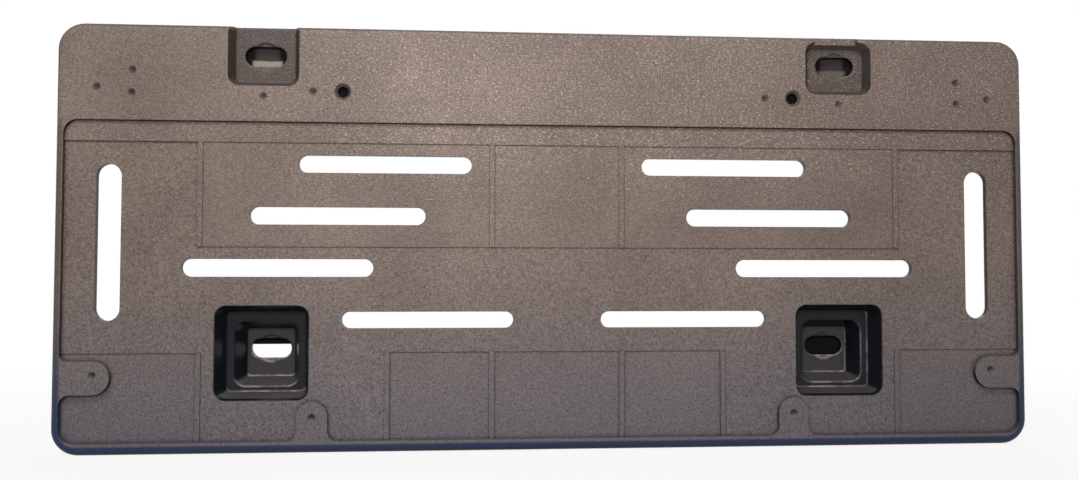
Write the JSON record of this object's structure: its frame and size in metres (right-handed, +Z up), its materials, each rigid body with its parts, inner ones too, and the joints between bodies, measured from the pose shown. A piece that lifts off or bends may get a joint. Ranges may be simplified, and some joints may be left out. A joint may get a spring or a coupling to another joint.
{
  "type": "number plate holder",
  "caption": "Front number plate holder for a car: one black moulded plastic plate with a stepped recess, long slots and screw pockets.",
  "frame": {"origin": "midway between the two upper fixing slots, on the seats of their screws", "axes": "+X to the viewer's right along the holder, +Y rearwards to the bumper, +Z up; the number plate goes on the -Y face"},
  "size_m": [0.3586, 0.0194, 0.1542],
  "materials": {
    "black_plastic": "fine grained moulding, smooth in the pockets"
  },
  "bodies": {
    "root": {"plate_holder": "black_plastic"}
  },
  "joints": []
}
